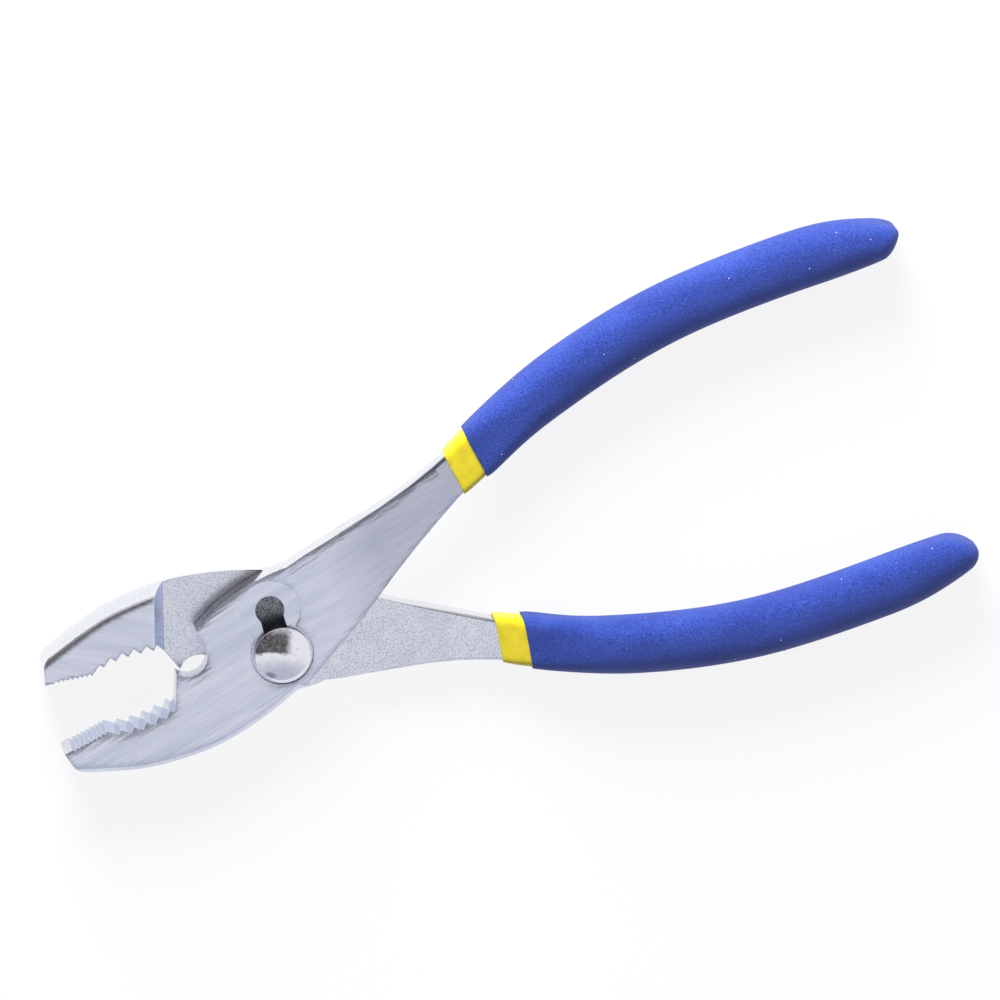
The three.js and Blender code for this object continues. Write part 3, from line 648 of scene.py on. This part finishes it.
def make_dust(grip, body, group):
    """Specks of dust that lie on a grip, half sunk in its skin."""
    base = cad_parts[grip]
    holder = bpy.data.objects.new(grip + "_dust_base", base.data.copy())
    bpy.context.scene.collection.objects.link(holder)
    scatter = holder.modifiers.new("specks", "NODES")
    scatter.node_group = group
    values = {"Density": DUST_DENSITY, "Radius": DUST_RADIUS, "Seed": DUST_SEED}
    for item in group.interface.items_tree:
        if item.item_type == "SOCKET" and item.in_out == "INPUT" and item.name in values:
            scatter[item.identifier] = values[item.name]
    ready = holder.evaluated_get(bpy.context.evaluated_depsgraph_get())
    mesh = bpy.data.meshes.new_from_object(ready)
    bpy.data.objects.remove(holder)
    piece = bpy.data.objects.new(grip + "_dust", mesh)
    bpy.context.scene.collection.objects.link(piece)
    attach(piece, body)


# The table under the pliers, how much of its white is its own for the camera and in mirrors, so that only
# a faint shadow shows on it, and the size of its paper's fibres in millimetres.
FLOOR_SIDE = 4000 * MM
FLOOR_DROP = 0.05 * MM
FLOOR_GLOW = 0.85
PAPER_FIBRE = (1.5, 1.5, 1.5)


def make_floor():
    """A white paper-covered table."""
    material, tree = new_material("white_table")
    place = add(tree, "ShaderNodeTexCoord").outputs["Object"]
    fibres = add(tree, "ShaderNodeMapping", {"Scale": marks(PAPER_FIBRE)}, {"Vector": place})
    paper = add(tree, "ShaderNodeTexNoise", {"Scale": 1.0}, {"Vector": fibres})
    shade = add(tree, "ShaderNodeMix", {"A": linear("F6F6F8"), "B": linear("F9F9FA")}, {"Factor": paper},
                data_type="RGBA")
    matt = add(tree, "ShaderNodeBsdfDiffuse", {}, {"Color": shade})
    glow = add(tree, "ShaderNodeEmission", {"Color": linear("FFFFFF"), "Strength": 1.0})
    rays = add(tree, "ShaderNodeLightPath").outputs
    seen = add(tree, "ShaderNodeMath", {}, {0: rays["Is Camera Ray"], 1: rays["Is Glossy Ray"]},
               operation="MAXIMUM")
    share = add(tree, "ShaderNodeMath", {1: FLOOR_GLOW}, {0: seen}, operation="MULTIPLY")
    mix = add(tree, "ShaderNodeMixShader", {}, {0: share, 1: matt, 2: glow})
    add(tree, "ShaderNodeOutputMaterial", {}, {"Surface": mix})
    work = bmesh.new()
    bmesh.ops.create_grid(work, x_segments=1, y_segments=1, size=FLOOR_SIDE / 2,
                          matrix=Matrix.Translation((0, 0, -FLOOR_DROP)))
    mesh = bpy.data.meshes.new("table")
    work.to_mesh(mesh)
    work.free()
    mesh.materials.append(material)
    floor = bpy.data.objects.new("table", mesh)
    bpy.context.scene.collection.objects.link(floor)


# A soft box at the picture's top, turned to the middle of the pliers: its place from there along the
# picture's right, up and to the camera, in metres.
KEY_PLACE = (-0.2, 0.8, 0.58)
KEY_SIDE = 500 * MM
KEY_POWER = 25.0


def make_key_light():
    axes = picture_axes()
    data = bpy.data.lights.new("soft box", "AREA")
    data.shape = "SQUARE"
    data.size = KEY_SIDE
    data.energy = KEY_POWER
    light = bpy.data.objects.new("soft box", data)
    middle = Vector([(low + high) / 2 for low, high in zip(*CAD_BOX)])
    place = middle + axes.transposed() @ Vector(KEY_PLACE)
    turn = (place - middle).to_track_quat("Z", "Y").to_matrix()
    light.matrix_world = Matrix.Translation(place) @ turn.to_4x4()
    light.visible_glossy = False
    bpy.context.scene.collection.objects.link(light)


make_camera()
make_world()
make_key_light()
make_floor()

# The slotted lever's face is ground along its length, with the crown of its back, the pinned one's jaw
# across, and the belt has rolled the slotted one's edges more. MOUTH is the side of y that a lever's
# teeth face.
SLOTTED_MOUTH = 1
PINNED_MOUTH = -1
SLOTTED_GRIND = 12.0
PINNED_GRIND = -30.0
SLOTTED_ROLL = 4.4 * MM
PINNED_ROLL = 2.4 * MM
SLOTTED_GROUND_TURN = 0.25
PINNED_GROUND_TURN = 0.9
SLOTTED_GROUND_DEPTH = 4 * MM
PINNED_GROUND_DEPTH = 2.5 * MM

trimmed = trimmed_steel()
# The second broached finish is painted shade: the same steel in darker, bluer colours.
teeth = {"teeth": broached_steel("broached_steel_teeth", "D3D6E2", "E9EAF1"),
         "shaded_flanks": broached_steel("broached_steel_shaded_flanks", "B6C2E4", "D2DCF5")}
blue = blue_vinyl()
yellow = yellow_vinyl()
specks = scatter_nodes(dust())
make_lever("slotted_lever", "slotted_lever",
           {**teeth, "edges": trimmed, "lap": forged_steel("forged_steel_slotted", False),
            "face": ground_steel("ground_steel_slotted", SLOTTED_GRIND, SLOTTED_ROLL),
            "seat": ground_steel("ground_steel_seats", SLOTTED_GRIND, 0.0)},
           SLOTTED_MOUTH, SLOTTED_GROUND_TURN, SLOTTED_GROUND_DEPTH)
# The pinned lever's lap takes painted shade under the slot.
make_lever("pinned_lever", "pinned_lever",
           {**teeth, "edges": trimmed, "lap": forged_steel("forged_steel_pinned", True),
            "face": ground_steel("ground_steel_pinned", PINNED_GRIND, PINNED_ROLL),
            "seat": ground_steel("ground_steel_nut_seat", PINNED_GRIND, 0.0)},
           PINNED_MOUTH, PINNED_GROUND_TURN, PINNED_GROUND_DEPTH)
for lever in ("slotted_lever", "pinned_lever"):
    make_rounded(lever + "_inner_coat", lever, yellow, lever)
    make_rounded(lever + "_grip", lever, blue, lever + "_inner_coat")
    make_dust(lever + "_grip", lever, specks)
make_rounded("pivot_bolt", "pivot", polished_steel())
make_nut("pivot_nut", "pivot", plated_steel())

bpy.context.scene.view_settings.view_transform = "Standard"
